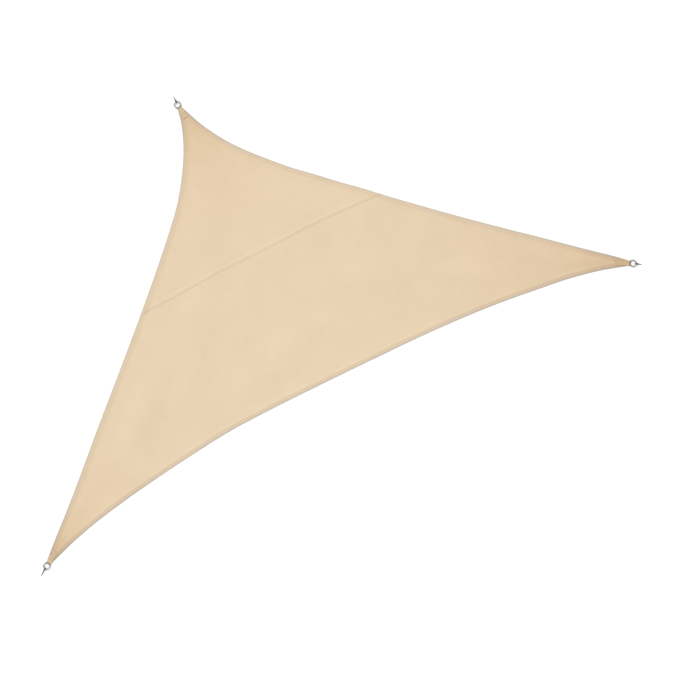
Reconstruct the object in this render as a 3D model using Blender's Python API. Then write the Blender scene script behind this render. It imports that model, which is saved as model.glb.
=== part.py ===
"""A triangular shade sail lying flat: two cloth panels joined by one felled seam, three webbing tabs,
three welded rings and the short knotted end of a tie on each ring.

Metres, +Z up. The long edge runs along X with the left corner at -X, and the apex points to +Y. The
origin is on the surface, under the middle of the box that the rings span.
"""

import math

import bmesh
import bpy
from mathutils import Matrix, Vector
from mathutils.geometry import delaunay_2d_cdt, intersect_line_line_2d

for leftover in list(bpy.data.objects):
    bpy.data.objects.remove(leftover)

# Driving dimensions
LONG_SIDE = 4.250  # left ring to right ring, centre to centre
APEX_ALONG = 2.111  # apex ring from the left ring, along the long side
APEX_OUT = 2.253  # apex ring square to the long side
SEAM_OUT = 1.166  # the seam's middle from the line through the long side's rings, where it has no drift
SEAM_LAP = 0.015  # overlap of the two panels
CLOTH = 0.0012  # one layer
HEM = 0.0024  # the turned hem, two layers
HEM_WIDTH = 0.029
HEM_STEP = 0.0015  # width of the step down from the hem to one layer
GAP = 0.0003  # between pieces that touch
WEBBING = 0.0015  # thickness of a tab's webbing
WIRE = 0.003  # radius of the rings' wire
RING = 0.0205  # radius of the rings' centreline
LOOP_HALF = 0.013  # half the tab's width where it bunches round the wire
TAB_SPREAD = 0.036  # distance from the ring's centre at which the tab is full width
TAB_PINCH = 0.018  # length over which the tab's two legs close on the cloth behind the wire
CORD = 0.0025  # radius of the ties' cord
KNOT_OUT = 0.0305  # middle of a knot's lump from the ring's centre
KNOT_SIZE = (0.0065, 0.0075, 0.0048)  # half sizes of the lump: away from the ring, along the wire, up
WRAP_PITCH = 0.0046  # between a knot's two turns round the wire
CLEAR = 0.0001  # ties above the surface

# A place on the sail is (along, out) from the left ring's centre, and the origin is at MIDDLE.
MIDDLE = Vector((LONG_SIDE / 2, APEX_OUT / 2))

# Each corner: its ring's place, the heading of its tab into the cloth in degrees, the tab's width, how far
# from the ring the cloth's edges come out from under the tab, how far the tab reaches, the knot's direction
# from the ring, and the tie end's points as (distance from the ring's centre, direction).
CORNERS = {
    "left": {
        "at": (0.0, 0.0),
        "heading": 30.5,
        "width": 0.033,
        "shoulder": 0.033,
        "reach": 0.110,
        "knot": -148.5,
        "end": [(0.0376, -147.9), (0.046, -147.2), (0.056, -146.4), (0.065, -145.9), (0.073, -145.7)],
    },
    "right": {
        "at": (LONG_SIDE, 0.0),
        "heading": 149.0,
        "width": 0.038,
        "shoulder": 0.038,
        "reach": 0.115,
        "knot": -35.0,
        "end": [(0.0376, -35.2), (0.044, -35.5), (0.051, -35.2), (0.057, -34.6)],
    },
    "apex": {
        "at": (APEX_ALONG, APEX_OUT),
        "heading": -85.75,
        "width": 0.032,
        "shoulder": 0.030,
        "reach": 0.100,
        "knot": 86.0,
        "end": [(0.0376, 87.4), (0.045, 88.6), (0.053, 87.6), (0.061, 88.4)],
    },
}

# How far each edge hollows in from the straight line between its two shoulders: (share of the line,
# hollow).
EDGES = {
    ("left", "right"): [
        (0.000, 0.0000),
        (0.020, 0.0260),
        (0.040, 0.0505),
        (0.080, 0.0920),
        (0.140, 0.1370),
        (0.200, 0.1710),
        (0.260, 0.1990),
        (0.320, 0.2220),
        (0.350, 0.2285),
        (0.380, 0.2300),
        (0.420, 0.2300),
        (0.500, 0.2245),
        (0.600, 0.2140),
        (0.700, 0.1985),
        (0.800, 0.1635),
        (0.860, 0.1300),
        (0.910, 0.0990),
        (0.960, 0.0525),
        (1.000, 0.0000),
    ],
    ("right", "apex"): [
        (0.000, 0.0000),
        (0.030, 0.0045),
        (0.080, 0.0175),
        (0.140, 0.0315),
        (0.200, 0.0450),
        (0.240, 0.0555),
        (0.280, 0.0650),
        (0.360, 0.0830),
        (0.460, 0.1005),
        (0.530, 0.1105),
        (0.580, 0.1150),
        (0.630, 0.1235),
        (0.690, 0.1300),
        (0.740, 0.1370),
        (0.800, 0.1335),
        (0.860, 0.1220),
        (0.900, 0.1025),
        (0.950, 0.0610),
        (1.000, 0.0000),
    ],
    ("apex", "left"): [
        (0.000, 0.0000),
        (0.015, 0.0295),
        (0.040, 0.0655),
        (0.065, 0.0940),
        (0.090, 0.1165),
        (0.130, 0.1420),
        (0.190, 0.1645),
        (0.250, 0.1655),
        (0.320, 0.1580),
        (0.420, 0.1410),
        (0.520, 0.1190),
        (0.620, 0.0950),
        (0.700, 0.0745),
        (0.770, 0.0595),
        (0.840, 0.0440),
        (0.900, 0.0280),
        (0.955, 0.0110),
        (1.000, 0.0000),
    ],
}

# The seam bows as it crosses the cloth: how far its middle lies past SEAM_OUT, as (along, drift).
SEAM_COURSE = [
    (1.28, -0.0040),
    (1.55, -0.0045),
    (1.70, -0.0005),
    (1.85, 0.0045),
    (2.05, 0.0025),
    (2.28, 0.0006),
    (2.45, 0.0020),
    (2.60, -0.0007),
    (2.75, -0.0085),
    (2.90, -0.0165),
    (3.00, -0.0230),
]

# Where the slack cloth stands off the surface in a soft billow: middle along and out, heading in degrees,
# half its length, half its width and its rise.
BILLOWS = [
    (1.97, 1.63, 84.0, 0.38, 0.20, 0.007),
    (2.42, 1.30, 128.0, 0.34, 0.17, 0.006),
    (1.62, 0.98, 52.0, 0.42, 0.21, 0.008),
    (2.62, 0.72, 158.0, 0.56, 0.21, 0.009),
    (1.98, 0.50, 12.0, 0.48, 0.17, 0.007),
    (1.02, 0.60, 41.0, 0.42, 0.15, 0.007),
    (3.30, 0.42, 151.0, 0.40, 0.12, 0.006),
]

EDGE_STEP = 0.045  # spacing of the outline's points
FIELD_STEP = 0.080  # spacing of the points inside the hems
FIELD_MARGIN = 0.040  # least distance of those points from a hem
SEAM_STEP = LONG_SIDE / 50  # spacing of the points along the seam's lines
SEAM_MARGIN = 0.020  # least distance of those points from the seam's lines
LAP_MARGIN = 0.0015  # past the base panel's edge before the apex panel starts to come down
LAP_EASE = 0.005  # length over which it comes down
TIP_HALF = 0.012  # half width of the cloth's end inside its tab
TIP_START = 0.031  # distance of that end from the ring's centre
TIP_MARGIN = 0.005  # past the tab's end before the cloth starts to come down
TIP_EASE = 0.090  # length over which the cloth comes down from its tab to the surface
STRIPS = 6  # across a tab
LEG_SHARES = [1.0, 0.75, 0.5, 0.25, 0.0]  # stations along a tab's flat leg, from its end
PINCH_SHARES = [0.33, 0.67]  # stations where a leg closes on the cloth
TURN_STEPS = 6  # round the wire

# The seam's lines, as distances out without the drift: the apex panel's lower edge, the base panel's upper
# edge, the last line at which the apex panel still rides over it, and the line at which it is down again.
LAP_LOW = SEAM_OUT - SEAM_LAP / 2
LAP_HIGH = SEAM_OUT + SEAM_LAP / 2
LAP_CLEAR = LAP_HIGH + LAP_MARGIN
LAP_DOWN = LAP_CLEAR + LAP_EASE
SEAM_LEVELS = (LAP_LOW, LAP_HIGH, LAP_CLEAR, LAP_DOWN)

# A ring lies in its tab at the inner end and on its tie's turns at the outer end.
INNER_HEIGHT = WEBBING + GAP + WIRE
OUTER_HEIGHT = CLEAR + 2 * CORD + GAP + WIRE
RING_HEIGHT = (INNER_HEIGHT + OUTER_HEIGHT) / 2
TILT = math.asin((OUTER_HEIGHT - INNER_HEIGHT) / (2 * RING))


def colour(name, rgb, roughness, metallic=0.0):
    """A material of one plain finish."""
    material = bpy.data.materials.new(name)
    material.use_nodes = True
    shader = material.node_tree.nodes["Principled BSDF"]
    shader.inputs["Base Color"].default_value = (*rgb, 1.0)
    shader.inputs["Roughness"].default_value = roughness
    shader.inputs["Metallic"].default_value = metallic
    return material


def add(name, data, material):
    """Put a mesh or a curve in the scene under its piece's name."""
    piece = bpy.data.objects.new(name, data)
    piece.data.materials.append(material)
    bpy.context.collection.objects.link(piece)
    return piece


def smooth(share):
    """An even ease from 0 to 1."""
    share = min(max(share, 0.0), 1.0)
    return share * share * (3.0 - 2.0 * share)


def heading(degrees):
    """The direction at an angle from the long side."""
    return Vector((math.cos(math.radians(degrees)), math.sin(math.radians(degrees))))


def square(direction):
    """The direction a quarter turn to the left."""
    return Vector((-direction.y, direction.x))


def from_corner(corner, ahead, left=0.0):
    """A place on the sail, from a ring's centre along its tab and to the tab's left."""
    direction = heading(corner["heading"])
    return Vector(corner["at"]) + direction * ahead + square(direction) * left


def read(rows, share):
    """The second column of a table at any value of the first, on a smooth curve through its rows."""
    slopes = [(b[1] - a[1]) / (b[0] - a[0]) for a, b in zip(rows, rows[1:])]
    turns = [slopes[0]] + [(a + b) / 2 for a, b in zip(slopes, slopes[1:])] + [slopes[-1]]
    row = 0
    while row < len(slopes) - 1 and share > rows[row + 1][0]:
        row += 1
    (start, low), (end, high) = rows[row], rows[row + 1]
    span = end - start
    t = (share - start) / span
    return (
        (1 + 2 * t) * (1 - t) ** 2 * low
        + t * (1 - t) ** 2 * span * turns[row]
        + t * t * (3 - 2 * t) * high
        - t * t * (1 - t) * span * turns[row + 1]
    )


def edge_line(names):
    """The points of one edge, from the first corner's right shoulder to the second corner's left one."""
    first, second = (CORNERS[name] for name in names)
    start = from_corner(first, first["shoulder"], -first["width"] / 2 + GAP)
    end = from_corner(second, second["shoulder"], second["width"] / 2 - GAP)
    line = end - start
    steps = round(line.length / EDGE_STEP)
    inward = square(line.normalized())
    return [start + line * (i / steps) + inward * read(EDGES[names], i / steps) for i in range(steps + 1)]


def moved_in(line, distance):
    """A line moved to its left by a distance."""
    sides = [square((b - a).normalized()) for a, b in zip(line, line[1:])]
    turns = [sides[0]] + [(a + b).normalized() for a, b in zip(sides, sides[1:])] + [sides[-1]]
    return [point + turn * distance for point, turn in zip(line, turns)]


def ring_of_lines(lines):
    """The closed loop that lines enclose, each cut off where the next one crosses it."""
    starts, ends = {}, {}
    for n, line in enumerate(lines):
        after = lines[(n + 1) % len(lines)]
        for i in range(len(line) - 1, 0, -1):
            for j in range(len(after) - 1):
                meet = intersect_line_line_2d(line[i - 1], line[i], after[j], after[j + 1])
                if meet is not None and n not in ends:
                    ends[n] = (i, meet)
                    starts[(n + 1) % len(lines)] = j + 1
    loop = []
    for n, line in enumerate(lines):
        last, meet = ends[n]
        loop += [*line[starts[n] : last], meet]
    return loop


def distance_to(line, place):
    """The distance from a place to the nearest point of an open line."""
    least = math.inf
    for a, b in zip(line, line[1:]):
        along = min(max((place - a).dot(b - a) / (b - a).length_squared, 0.0), 1.0)
        least = min(least, (a + (b - a) * along - place).length)
    return least


def drift(along):
    """How far the seam lies past SEAM_OUT at a distance along."""
    return read(SEAM_COURSE, min(max(along, SEAM_COURSE[0][0]), SEAM_COURSE[-1][0]))


def without_drift(place):
    """Where a place on the cloth would be if the seam ran straight."""
    return Vector((place.x, place.y - drift(place.x)))


def with_drift(place):
    """The opposite of without_drift."""
    return Vector((place.x, place.y + drift(place.x)))


def rise(place):
    """How far the cloth stands off the surface: over its tabs at the three tips, and in its billows."""
    height = 0.0
    for corner in CORNERS.values():
        past = (place - Vector(corner["at"])).length - corner["reach"] - TIP_MARGIN
        height = max(height, (WEBBING + GAP) * (1.0 - smooth(past / TIP_EASE)))
    for along, out, degrees, long, wide, high in BILLOWS:
        direction = heading(degrees)
        off = place - Vector((along, out))
        spread = math.hypot(off.dot(direction) / long, off.dot(square(direction)) / wide)
        if spread < 1.0:
            height += high * math.cos(spread * math.pi / 2) ** 2
    return height


def cloth_net():
    """The whole cloth as flat triangles that follow its outline, hems and seam.

    Gives each point's place, its distance out without the drift and whether it is on a hem, and the faces.
    """
    edges = [edge_line(names) for names in EDGES]
    outline = []
    for line, (_, name) in zip(edges, EDGES):
        corner = CORNERS[name]
        outline += line
        outline.append(from_corner(corner, TIP_START, TIP_HALF))
        outline.append(from_corner(corner, TIP_START, -TIP_HALF))
    hem_line = ring_of_lines([moved_in(line, HEM_WIDTH) for line in edges])
    field_line = ring_of_lines([moved_in(line, HEM_WIDTH + HEM_STEP) for line in edges])
    points, links = [], []
    for loop in (outline, hem_line, field_line):
        first = len(points)
        points += [without_drift(place) for place in loop]
        links += [(first + i, first + (i + 1) % len(loop)) for i in range(len(loop))]
    for level in SEAM_LEVELS:
        marks = [Vector((step * SEAM_STEP, level)) for step in range(round(LONG_SIDE / SEAM_STEP) + 1)]
        links += [(len(points) + i, len(points) + i + 1) for i in range(len(marks) - 1)]
        points += marks
    rows = int(APEX_OUT / FIELD_STEP)
    for row in range(rows):
        for column in range(int(LONG_SIDE / FIELD_STEP)):
            point = Vector(((column + 0.5 * (row % 2)) * FIELD_STEP, row * FIELD_STEP))
            place = with_drift(point)
            inside = all(square(b - a).dot(place - a) > 0 for a, b in nearest_pieces(edges, place))
            far = min(distance_to(line, place) for line in edges) > HEM_WIDTH + FIELD_MARGIN
            clear_of_seam = min(abs(point.y - level) for level in SEAM_LEVELS) > SEAM_MARGIN
            if inside and far and clear_of_seam:
                points.append(point)
    found, _, faces, *_ = delaunay_2d_cdt(points, links, [list(range(len(outline)))], 1, 1e-6)
    places = [with_drift(point) for point in found]
    hemmed = [min(distance_to(line, place) for line in edges) < HEM_WIDTH + HEM_STEP / 4 for place in places]
    return places, [point.y for point in found], hemmed, faces


def nearest_pieces(edges, place):
    """The nearest piece of each edge to a place."""
    for line in edges:
        pieces = list(zip(line, line[1:]))
        yield min(pieces, key=lambda piece: ((piece[0] + piece[1]) / 2 - place).length)


def lap_rise(out, layers):
    """How far the apex panel stands above the base panel's edge, which lies under it at the seam.

    The distance out is the one without the drift.
    """
    share = (LAP_DOWN - out) / LAP_EASE
    return (layers + GAP) * min(max(share, 0.0), 1.0)


def panel(name, net, low_out, high_out, material):
    """One cloth panel: the net's triangles between two distances out, as a sheet with its hems."""
    places, outs, hemmed, faces = net
    kept = [face for face in faces if low_out < sum(outs[i] for i in face) / len(face) < high_out]
    used = sorted({i for face in kept for i in face})
    number = {i: n for n, i in enumerate(used)}
    shape = bmesh.new()
    bottoms, tops = [], []
    for i in used:
        layers = HEM if hemmed[i] else CLOTH
        low = rise(places[i])
        if low_out == LAP_LOW:
            low += lap_rise(outs[i], layers)
        x, y = places[i] - MIDDLE
        bottoms.append(shape.verts.new((x, y, low)))
        tops.append(shape.verts.new((x, y, low + layers)))
    for face in kept:
        shape.faces.new([tops[number[i]] for i in face])
        shape.faces.new([bottoms[number[i]] for i in reversed(face)])
    rims = [edge for edge in shape.edges if edge.is_boundary]
    upper = set(tops)
    partner = dict(zip(tops, bottoms))
    for rim in rims:
        start, end = loop_ends(rim)
        if start in upper:
            shape.faces.new([end, start, partner[start], partner[end]])
    bmesh.ops.recalc_face_normals(shape, faces=shape.faces[:])
    mesh = bpy.data.meshes.new(name)
    shape.to_mesh(mesh)
    shape.free()
    return add(name, mesh, material)


def loop_ends(rim):
    """The two points of a rim in the order in which its one face runs past them."""
    loop = rim.link_loops[0]
    return loop.vert, loop.link_loop_next.vert


def wire_height(ahead):
    """The height of a ring's centreline, which its knot lifts at the outer end."""
    return RING_HEIGHT - ahead * math.tan(TILT)


def ring(name, corner, material):
    """A welded ring of round wire."""
    bpy.ops.mesh.primitive_torus_add(
        major_segments=32, minor_segments=10, major_radius=RING, minor_radius=WIRE, location=(0, 0, 0)
    )
    piece = bpy.context.object
    piece.name = name
    x, y = Vector(corner["at"]) - MIDDLE
    piece.location = (x, y, RING_HEIGHT)
    piece.rotation_euler = (0.0, TILT, math.radians(corner["heading"]))
    piece.data.materials.append(material)
    piece.data.shade_smooth()
    return piece


def tab(name, corner, material):
    """Webbing that runs under the cloth, turns round the wire inside its ring and goes back over it."""
    under, over = WEBBING, WEBBING + GAP + HEM + GAP
    shape = bmesh.new()
    rows = []
    for strip in range(STRIPS + 1):
        side = 2 * strip / STRIPS - 1
        bunched = side * LOOP_HALF
        wire_ahead = math.sqrt(RING**2 - bunched**2)
        wire_up = wire_height(wire_ahead)
        slant = RING / wire_ahead
        pinch_end = wire_ahead + TAB_PINCH
        leg = [(pinch_end + (corner["reach"] - pinch_end) * share, 0.0) for share in LEG_SHARES]
        pinch = [(pinch_end - TAB_PINCH * share, smooth(share)) for share in PINCH_SHARES]
        path = [(ahead, under + (wire_up - WIRE - GAP - under) * lift) for ahead, lift in leg + pinch]
        for turn in range(TURN_STEPS + 1):
            angle = math.pi * turn / TURN_STEPS - math.pi / 2
            reach = (WIRE + GAP) * slant * math.cos(angle)
            path.append((wire_ahead - reach, wire_up + (WIRE + GAP) * math.sin(angle)))
        path += [(ahead, over + (wire_up + WIRE + GAP - over) * lift) for ahead, lift in (leg + pinch)[::-1]]
        row = []
        for ahead, up in path:
            spread = smooth((ahead - wire_ahead) / (TAB_SPREAD - wire_ahead))
            across = bunched + (side * corner["width"] / 2 - bunched) * spread
            x, y = from_corner(corner, ahead, across) - MIDDLE
            row.append(shape.verts.new((x, y, up)))
        rows.append(row)
    for row, following in zip(rows, rows[1:]):
        for i in range(len(row) - 1):
            shape.faces.new([row[i], row[i + 1], following[i + 1], following[i]])
    mesh = bpy.data.meshes.new(name)
    shape.to_mesh(mesh)
    shape.free()
    piece = add(name, mesh, material)
    thickness = piece.modifiers.new("Webbing", "SOLIDIFY")
    thickness.thickness = WEBBING
    thickness.offset = 1.0
    thickness.use_even_offset = True
    return piece


def unite(piece, other):
    """Make another shape part of a piece."""
    union = piece.modifiers.new("Union", "BOOLEAN")
    union.operation = "UNION"
    union.object = other
    bpy.context.view_layer.objects.active = piece
    bpy.ops.object.modifier_apply(modifier=union.name)
    bpy.data.objects.remove(other)


def knot(name, corner, material):
    """A tie's knot: two turns round the wire, drawn into a lump on the ring's outer side."""
    direction = heading(corner["knot"])
    middle = Vector(corner["at"]) - MIDDLE
    place = middle + direction * KNOT_OUT
    bpy.ops.mesh.primitive_uv_sphere_add(segments=16, ring_count=10, radius=1.0, location=(0, 0, 0))
    piece = bpy.context.object
    piece.name = name
    piece.data.transform(Matrix.Diagonal((*KNOT_SIZE, 1.0)))
    piece.location = (place.x, place.y, CLEAR + KNOT_SIZE[2])
    piece.rotation_euler = (0.0, 0.0, math.radians(corner["knot"]))
    for side in (-0.5, 0.5):
        turned = math.radians(corner["knot"]) + side * WRAP_PITCH / RING
        out = Vector((math.cos(turned), math.sin(turned)))
        ahead = out.dot(heading(corner["heading"])) * RING
        x, y = middle + out * RING
        bpy.ops.mesh.primitive_torus_add(
            major_segments=18,
            minor_segments=8,
            major_radius=WIRE + GAP + CORD,
            minor_radius=CORD,
            location=(x, y, wire_height(ahead)),
            rotation=(math.pi / 2, 0.0, turned),
        )
        unite(piece, bpy.context.object)
    piece.data.materials.clear()
    piece.data.materials.append(material)
    piece.data.shade_smooth()
    return piece


def tie_end(name, corner, material):
    """The free end of a tie, lying on the surface beyond its knot."""
    curve = bpy.data.curves.new(name, "CURVE")
    curve.dimensions = "3D"
    curve.bevel_depth = CORD
    curve.bevel_resolution = 2
    curve.use_fill_caps = True
    spline = curve.splines.new("POLY")
    spline.points.add(len(corner["end"]) - 1)
    for point, (distance, direction) in zip(spline.points, corner["end"]):
        x, y = Vector(corner["at"]) - MIDDLE + heading(direction) * distance
        point.co = (x, y, CLEAR + CORD, 1.0)
    return add(name, curve, material)


cloth = colour("Polyester cloth", (0.71, 0.57, 0.40), 0.8)
webbing = colour("Webbing", (0.55, 0.43, 0.28), 0.85)
steel = colour("Stainless steel", (0.55, 0.56, 0.58), 0.3, 1.0)
cord = colour("Grey cord", (0.23, 0.235, 0.24), 0.75)

sail = cloth_net()
panel("panel_base", sail, 0.0, LAP_HIGH, cloth)
panel("panel_apex", sail, LAP_LOW, APEX_OUT, cloth)
for where, corner in CORNERS.items():
    tab(f"tab_{where}", corner, webbing)
    ring(f"ring_{where}", corner, steel)
    knot(f"tie_knot_{where}", corner, cord)
    tie_end(f"tie_end_{where}", corner, cord)
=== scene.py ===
"""The looks of a triangular shade sail that lies face up on the floor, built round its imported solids.

Metres, in the model's own frame: the long edge runs along X and the apex points to +Y.
"""

import math

import bmesh
import bpy
import numpy as np
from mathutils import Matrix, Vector, noise
from mathutils.geometry import delaunay_2d_cdt


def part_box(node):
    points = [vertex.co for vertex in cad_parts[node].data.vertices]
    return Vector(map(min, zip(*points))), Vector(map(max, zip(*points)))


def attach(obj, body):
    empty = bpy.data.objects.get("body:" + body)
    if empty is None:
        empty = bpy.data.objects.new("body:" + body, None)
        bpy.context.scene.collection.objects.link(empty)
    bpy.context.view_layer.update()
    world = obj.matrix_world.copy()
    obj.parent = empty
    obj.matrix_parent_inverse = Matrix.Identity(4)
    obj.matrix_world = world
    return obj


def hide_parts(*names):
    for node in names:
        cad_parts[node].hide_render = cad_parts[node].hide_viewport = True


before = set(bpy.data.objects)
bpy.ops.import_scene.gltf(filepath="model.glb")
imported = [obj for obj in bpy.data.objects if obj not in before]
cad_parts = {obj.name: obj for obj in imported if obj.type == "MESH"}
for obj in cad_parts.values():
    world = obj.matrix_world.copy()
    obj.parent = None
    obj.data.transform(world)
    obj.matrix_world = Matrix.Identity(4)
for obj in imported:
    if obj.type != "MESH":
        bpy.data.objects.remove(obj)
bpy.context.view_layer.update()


# ---- The camera ----
# It looks straight down from high above. Two rings' places in the photograph give its scale and turn.
PHOTO_SIDE = 681  # pixels
PHOTO_MIDDLE = Vector((340.0, 340.0))  # the first pixel's middle is (0, 0)
LEFT_RING_PIXEL = Vector((46.28, 565.3))
RIGHT_RING_PIXEL = Vector((632.28, 262.8))
CAMERA_HEIGHT = 14.0


def middle_of(node):
    """The middle of a solid's box."""
    low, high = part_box(node)
    return (low + high) / 2


ring_at = {where: middle_of(f"ring_{where}") for where in ("left", "right", "apex")}
long_side = RIGHT_RING_PIXEL - LEFT_RING_PIXEL
pixel = (ring_at["right"] - ring_at["left"]).length / long_side.length
photo_turn = math.atan2(long_side.y, long_side.x)
from_left_ring = PHOTO_MIDDLE - LEFT_RING_PIXEL
cosine, sine = math.cos(photo_turn), math.sin(photo_turn)
photo_middle = ring_at["left"].xy + pixel * Vector(
    (cosine * from_left_ring.x + sine * from_left_ring.y, sine * from_left_ring.x - cosine * from_left_ring.y)
)
bpy.ops.object.camera_add(location=(*photo_middle, CAMERA_HEIGHT), rotation=(0.0, 0.0, photo_turn))
camera = bpy.context.object
camera.data.lens = camera.data.sensor_width * CAMERA_HEIGHT / (PHOTO_SIDE * pixel)
camera.data.clip_end = 200.0
bpy.context.scene.camera = camera


# ---- The ties' free ends ----
# Each ring keeps a short tie of braided grey cord. Its free end comes out of its knot, lies on the
# floor and thins out to a sealed tip.
CORD = 0.0025  # radius
FLOOR_GAP = 0.0001  # between the floor and a cord that lies on it
PLAITS = 8  # strands each way round
PLAIT_TURN = 0.019  # length in which a strand goes once round
CORD_SIDES = 40
CORD_STEP = 0.0004
PLAIT_DEPTH = 0.13  # share of the radius
START_POINTS = 4  # over which a cord's hidden start closes
TIP_POINTS = 3  # over which its free tip closes
FULLNESS = [(0.0, 0.40), (0.012, 0.90), (0.020, 1.08), (0.030, 1.18)]  # the radius's share, from the tip
IN_KNOT = (0.0265, 0.0045)  # where an end starts inside its knot: distance from the ring's centre, height

# Direction of each knot from its ring's centre, and the end's route as (distance, direction).
TIES = {
    "left": (-148.5, [(0.0376, -147.9), (0.046, -147.2), (0.056, -146.4), (0.066, -145.9), (0.0755, -145.7)]),
    "right": (-35.0, [(0.0376, -35.2), (0.044, -35.5), (0.052, -35.2), (0.0595, -34.6)]),
    "apex": (86.0, [(0.0376, 87.4), (0.045, 88.6), (0.053, 87.6), (0.062, 88.4)]),
}


def heading(degrees):
    """The direction at an angle from the long side."""
    return Vector((math.cos(math.radians(degrees)), math.sin(math.radians(degrees))))


def run_of(line):
    """How far along a line each of its points lies."""
    return np.concatenate([[0], np.cumsum(np.linalg.norm(np.diff(line, axis=0), axis=1))])


def smooth_line(points, step):
    """Evenly spaced points on a smooth curve through a few."""
    through = np.array([2 * points[0] - points[1], *points, 2 * points[-1] - points[-2]], float)
    share = np.linspace(0, 1, 24, endpoint=False)[:, None]
    spans = []
    for a, b, c, d in zip(through, through[1:], through[2:], through[3:]):
        bend = 2 * a - 5 * b + 4 * c - d
        spans.append(0.5 * (2 * b + (c - a) * share + bend * share**2 + (3 * b - 3 * c + d - a) * share**3))
    dense = np.concatenate([*spans, through[-2:-1]])
    run = run_of(dense)
    at = np.linspace(0, run[-1], round(run[-1] / step) + 1)
    return np.stack([np.interp(at, run, dense[:, axis]) for axis in range(3)], axis=1)


def mesh_piece(name, points, faces, slot, **measures):
    """A new piece from its points and faces, with named numbers for its points, smoothly shaded."""
    mesh = bpy.data.meshes.new(name)
    mesh.from_pydata(np.asarray(points).tolist(), [], np.asarray(faces).tolist())
    for measure, values in measures.items():
        held = mesh.attributes.new(measure, "FLOAT", "POINT")
        held.data.foreach_set("value", np.asarray(values, np.float32))
    mesh.shade_smooth()
    piece = bpy.data.objects.new(name, mesh)
    bpy.context.scene.collection.objects.link(piece)
    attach(piece, "root")
    return piece


def grid_faces(rows, sides, closed=True):
    """The faces between rows of points, each row closed to a ring or open."""
    row, side = np.meshgrid(np.arange(rows - 1), np.arange(sides if closed else sides - 1), indexing="ij")
    first, after = row * sides, (side + 1) % sides
    corners = [first + side, first + after, first + sides + after, first + sides + side]
    return np.stack(corners, axis=-1).reshape(-1, 4)


def braided_cord(name, line, pull_in):
    """A braided cord along a line. pull_in gives its radius's share at each point, 0 at a closed end."""
    ahead = np.gradient(line, axis=0)
    ahead /= np.linalg.norm(ahead, axis=1)[:, None]
    side = np.cross(ahead[0], (0.0, 0.0, 1.0))
    sides = []
    for direction in ahead:
        side = side - direction * side.dot(direction)
        side /= np.linalg.norm(side)
        sides.append(side)
    sides = np.array(sides)[:, None, :]
    ups = np.cross(sides[:, 0], ahead)[:, None, :]
    angle = np.linspace(0, 2 * math.pi, CORD_SIDES, endpoint=False)[None, :]
    run = np.arange(len(line))[:, None] * np.linalg.norm(line[1] - line[0])
    one_way = PLAITS * (angle / 2 + math.pi * run / PLAIT_TURN)
    other_way = PLAITS * (angle / 2 - math.pi * run / PLAIT_TURN)
    on_top = (np.floor(one_way / math.pi) + np.floor(other_way / math.pi)) % 2
    a, b = np.abs(np.sin(one_way)), np.abs(np.sin(other_way))
    plait = np.where(on_top > 0, a**0.9 * b**0.35, b**0.9 * a**0.35)
    radius = CORD * (1 - PLAIT_DEPTH * (1 - plait)) * np.asarray(pull_in)[:, None]
    around = np.cos(angle)[..., None] * sides + np.sin(angle)[..., None] * ups
    points = line[:, None, :] + around * radius[..., None]
    return mesh_piece(
        name,
        points.reshape(-1, 3),
        grid_faces(len(line), CORD_SIDES),
        "tie_cord",
        plait=(plait * np.ones_like(radius)).ravel(),
    )


def closed_ends(count, start, end):
    """Shares of the radius along a cord: both ends close, each over so many points."""
    place = np.arange(count)
    open_start = np.clip(place / start, 0, 1)
    open_end = np.clip((count - 1 - place) / end, 0, 1)
    return np.sqrt(1 - (1 - open_start) ** 2) * np.sqrt(1 - (1 - open_end) ** 2)


WIRE = 0.003  # radius of the rings' wire
RING = 0.0205  # radius of the rings' centreline
WRAP = 0.0058  # radius of a tie's turns round the wire, to the cord's middle
WRAP_PITCH = 0.0040  # between the two turns
WRAP_START = -70.0  # degrees, from under the wire's outer side
WRAP_TURN = 0.97  # of a full circle, for each of the two
PULLED = 0.86  # the cord's share of its radius in the tight knot
LUMP_OUT = (0.0252, 0.0352)  # the knot's turns round itself start and end this far from the ring's centre
LUMP_WIDE = (0.0045, 0.0028)  # their half width at the start and end, to the cord's middle
LUMP_THICK = 0.0024  # their half height, to the cord's middle
LUMP_HEIGHT = 0.0050
LUMP_START = 60.0  # degrees
LUMP_TUCK = 0.002  # the cord's first point lies this far inside the lump
KNOT_STEPS = 14  # points in a turn


def ring_tilt(where):
    """How far a ring leans: its outer side is held up by the tie's turns."""
    low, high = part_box(f"ring_{where}")
    return math.asin((high.z - low.z - 2 * WIRE) / (2 * RING))


def knot_line(where):
    """A tie's way through its knot: twice round the wire, then twice round itself."""
    out = Vector((*heading(TIES[where][0]), 0.0))
    along, up = Vector((-out.y, out.x, 0.0)), Vector((0.0, 0.0, 1.0))
    low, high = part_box(f"tie_knot_{where}")
    wire = ring_at[where].xy.to_3d() + out * RING + up * (high.z - WRAP - CORD)
    middle = ring_at[where].xy.to_3d() + up * LUMP_HEIGHT
    points = [middle + out * (LUMP_OUT[0] + LUMP_TUCK) - along * LUMP_TUCK]
    for step in range(2 * KNOT_STEPS + 1):
        turn = step / KNOT_STEPS
        angle = math.radians(WRAP_START) - 2 * math.pi * turn * WRAP_TURN
        across = WRAP_PITCH * (min(max(2.5 * (turn - 1) + 0.5, 0), 1) - 0.5)
        points.append(wire + (out * math.cos(angle) + up * math.sin(angle)) * WRAP + along * across)
    for step in range(2 * KNOT_STEPS + 1):
        turn = step / KNOT_STEPS
        angle = math.radians(LUMP_START) + 2 * math.pi * turn
        away = LUMP_OUT[0] + (LUMP_OUT[1] - LUMP_OUT[0]) * turn / 2
        wide = LUMP_WIDE[0] + (LUMP_WIDE[1] - LUMP_WIDE[0]) * turn / 2
        across, lift = wide * math.cos(angle), LUMP_THICK * math.sin(angle)
        points.append(middle + out * away + along * across + up * lift)
    return smooth_line(points, CORD_STEP)


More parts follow.
